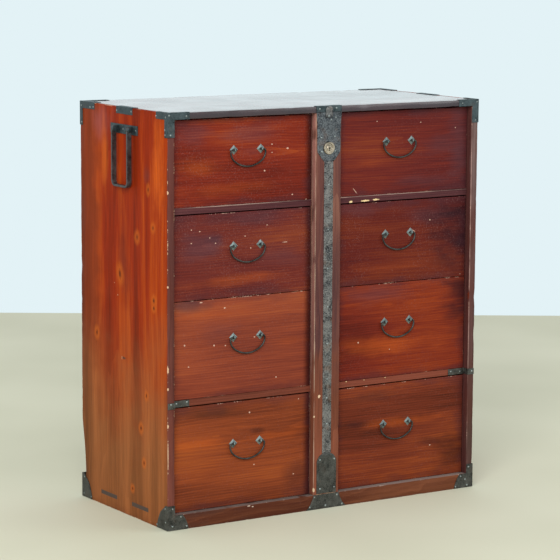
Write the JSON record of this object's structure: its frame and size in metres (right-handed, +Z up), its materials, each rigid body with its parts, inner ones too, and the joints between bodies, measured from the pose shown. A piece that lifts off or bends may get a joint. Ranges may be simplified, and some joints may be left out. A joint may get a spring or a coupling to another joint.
{
  "type": "clothing chest of drawers",
  "caption": "Lacquered wooden clothing chest with iron fittings, sliding drawers with wire bails, a locking bar down the front and a swinging carrying handle on each side.",
  "frame": {"origin": "on the floor, under the middle of the case", "axes": "+X to the chest's right as seen from the front, +Y to the back, +Z up; drawers open towards -Y"},
  "size_m": [0.9374, 0.4361, 1.0012],
  "materials": {
    "case_lacquer": "satin orange-red transparent lacquer",
    "front_lacquer": "satin dark red-brown lacquer, worn edges",
    "bare_wood": "planed bare wood",
    "wrought_iron": "blackened hand-forged iron",
    "boss_brass": "dull old brass"
  },
  "bodies": {
    "case": {"left_side_board": "case_lacquer", "right_side_board": "case_lacquer", "top_board": "case_lacquer", "bottom_board": "bare_wood", "base_rail": "front_lacquer", "back_boards": "bare_wood", "centre_partition": "front_lacquer", "drawer_rails": "front_lacquer", "middle_shelves": "bare_wood", "drawer_guides": "bare_wood", "corner_irons": "wrought_iron", "foot_irons": "wrought_iron", "rail_straps": "wrought_iron", "keeper_plate": "wrought_iron", "base_centre_plate": "wrought_iron", "carrying_handle_plate_left": "wrought_iron", "carrying_handle_plate_right": "wrought_iron"},
    "drawer_left_top": {"drawer_front_left_top": "front_lacquer", "drawer_tray_left_top": "bare_wood", "pull_fixings_left_top": "wrought_iron"},
    "pull_left_top": {"pull_bail_left_top": "wrought_iron"},
    "drawer_left_upper": {"drawer_front_left_upper": "front_lacquer", "drawer_tray_left_upper": "bare_wood", "pull_fixings_left_upper": "wrought_iron"},
    "pull_left_upper": {"pull_bail_left_upper": "wrought_iron"},
    "drawer_left_lower": {"drawer_front_left_lower": "front_lacquer", "drawer_tray_left_lower": "bare_wood", "pull_fixings_left_lower": "wrought_iron"},
    "pull_left_lower": {"pull_bail_left_lower": "wrought_iron"},
    "drawer_left_bottom": {"drawer_front_left_bottom": "front_lacquer", "drawer_tray_left_bottom": "bare_wood", "pull_fixings_left_bottom": "wrought_iron"},
    "pull_left_bottom": {"pull_bail_left_bottom": "wrought_iron"},
    "carrying_handle_left": {"carrying_handle_loop_left": "wrought_iron"},
    "drawer_right_top": {"drawer_front_right_top": "front_lacquer", "drawer_tray_right_top": "bare_wood", "pull_fixings_right_top": "wrought_iron"},
    "pull_right_top": {"pull_bail_right_top": "wrought_iron"},
    "drawer_right_upper": {"drawer_front_right_upper": "front_lacquer", "drawer_tray_right_upper": "bare_wood", "pull_fixings_right_upper": "wrought_iron"},
    "pull_right_upper": {"pull_bail_right_upper": "wrought_iron"},
    "drawer_right_lower": {"drawer_front_right_lower": "front_lacquer", "drawer_tray_right_lower": "bare_wood", "pull_fixings_right_lower": "wrought_iron"},
    "pull_right_lower": {"pull_bail_right_lower": "wrought_iron"},
    "drawer_right_bottom": {"drawer_front_right_bottom": "front_lacquer", "drawer_tray_right_bottom": "bare_wood", "pull_fixings_right_bottom": "wrought_iron"},
    "pull_right_bottom": {"pull_bail_right_bottom": "wrought_iron"},
    "carrying_handle_right": {"carrying_handle_loop_right": "wrought_iron"},
    "locking_bar": {"locking_bar": "front_lacquer", "lock_case": "wrought_iron", "lock_plate": "wrought_iron", "hasp_tongue": "wrought_iron", "bar_strap": "wrought_iron", "bar_foot_plate": "wrought_iron", "lock_boss": "boss_brass"},
    "lock_bolt": {"lock_bolt": "wrought_iron"}
  },
  "joints": [
    {"name": "drawer_left_top_slide", "type": "slide", "parent": "case", "child": "drawer_left_top", "axis": [0, -1, 0], "range_m": [0, 0.32]},
    {"name": "pull_left_top_swing", "type": "hinge", "parent": "drawer_left_top", "child": "pull_left_top", "pos_m": [-0.22175, -0.2016, 0.904], "axis": [-1, 0, 0], "range_deg": [0, 95]},
    {"name": "drawer_left_upper_slide", "type": "slide", "parent": "case", "child": "drawer_left_upper", "axis": [0, -1, 0], "range_m": [0, 0.32]},
    {"name": "pull_left_upper_swing", "type": "hinge", "parent": "drawer_left_upper", "child": "pull_left_upper", "pos_m": [-0.22175, -0.2016, 0.673], "axis": [-1, 0, 0], "range_deg": [0, 95]},
    {"name": "drawer_left_lower_slide", "type": "slide", "parent": "case", "child": "drawer_left_lower", "axis": [0, -1, 0], "range_m": [0, 0.32]},
    {"name": "pull_left_lower_swing", "type": "hinge", "parent": "drawer_left_lower", "child": "pull_left_lower", "pos_m": [-0.22175, -0.2016, 0.451], "axis": [-1, 0, 0], "range_deg": [0, 95]},
    {"name": "drawer_left_bottom_slide", "type": "slide", "parent": "case", "child": "drawer_left_bottom", "axis": [0, -1, 0], "range_m": [0, 0.32]},
    {"name": "pull_left_bottom_swing", "type": "hinge", "parent": "drawer_left_bottom", "child": "pull_left_bottom", "pos_m": [-0.22175, -0.2016, 0.19], "axis": [-1, 0, 0], "range_deg": [0, 95]},
    {"name": "carrying_handle_left_swing", "type": "hinge", "parent": "case", "child": "carrying_handle_left", "pos_m": [-0.4617, -0.009, 0.94775], "axis": [0, 1, 0], "range_deg": [0, 180]},
    {"name": "drawer_right_top_slide", "type": "slide", "parent": "case", "child": "drawer_right_top", "axis": [0, -1, 0], "range_m": [0, 0.32]},
    {"name": "pull_right_top_swing", "type": "hinge", "parent": "drawer_right_top", "child": "pull_right_top", "pos_m": [0.22175, -0.2016, 0.904], "axis": [-1, 0, 0], "range_deg": [0, 95]},
    {"name": "drawer_right_upper_slide", "type": "slide", "parent": "case", "child": "drawer_right_upper", "axis": [0, -1, 0], "range_m": [0, 0.32]},
    {"name": "pull_right_upper_swing", "type": "hinge", "parent": "drawer_right_upper", "child": "pull_right_upper", "pos_m": [0.22175, -0.2016, 0.673], "axis": [-1, 0, 0], "range_deg": [0, 95]},
    {"name": "drawer_right_lower_slide", "type": "slide", "parent": "case", "child": "drawer_right_lower", "axis": [0, -1, 0], "range_m": [0, 0.32]},
    {"name": "pull_right_lower_swing", "type": "hinge", "parent": "drawer_right_lower", "child": "pull_right_lower", "pos_m": [0.22175, -0.2016, 0.451], "axis": [-1, 0, 0], "range_deg": [0, 95]},
    {"name": "drawer_right_bottom_slide", "type": "slide", "parent": "case", "child": "drawer_right_bottom", "axis": [0, -1, 0], "range_m": [0, 0.32]},
    {"name": "pull_right_bottom_swing", "type": "hinge", "parent": "drawer_right_bottom", "child": "pull_right_bottom", "pos_m": [0.22175, -0.2016, 0.19], "axis": [-1, 0, 0], "range_deg": [0, 95]},
    {"name": "carrying_handle_right_swing", "type": "hinge", "parent": "case", "child": "carrying_handle_right", "pos_m": [0.4617, -0.009, 0.94775], "axis": [0, -1, 0], "range_deg": [0, 180]},
    {"name": "locking_bar_tilt", "type": "hinge", "parent": "case", "child": "locking_bar", "pos_m": [0, -0.2153, 0.0373], "axis": [1, 0, 0], "range_deg": [0, 45]},
    {"name": "lock_bolt_throw", "type": "slide", "parent": "locking_bar", "child": "lock_bolt", "axis": [0, 0, 1], "range_m": [0, 0.008]}
  ]
}
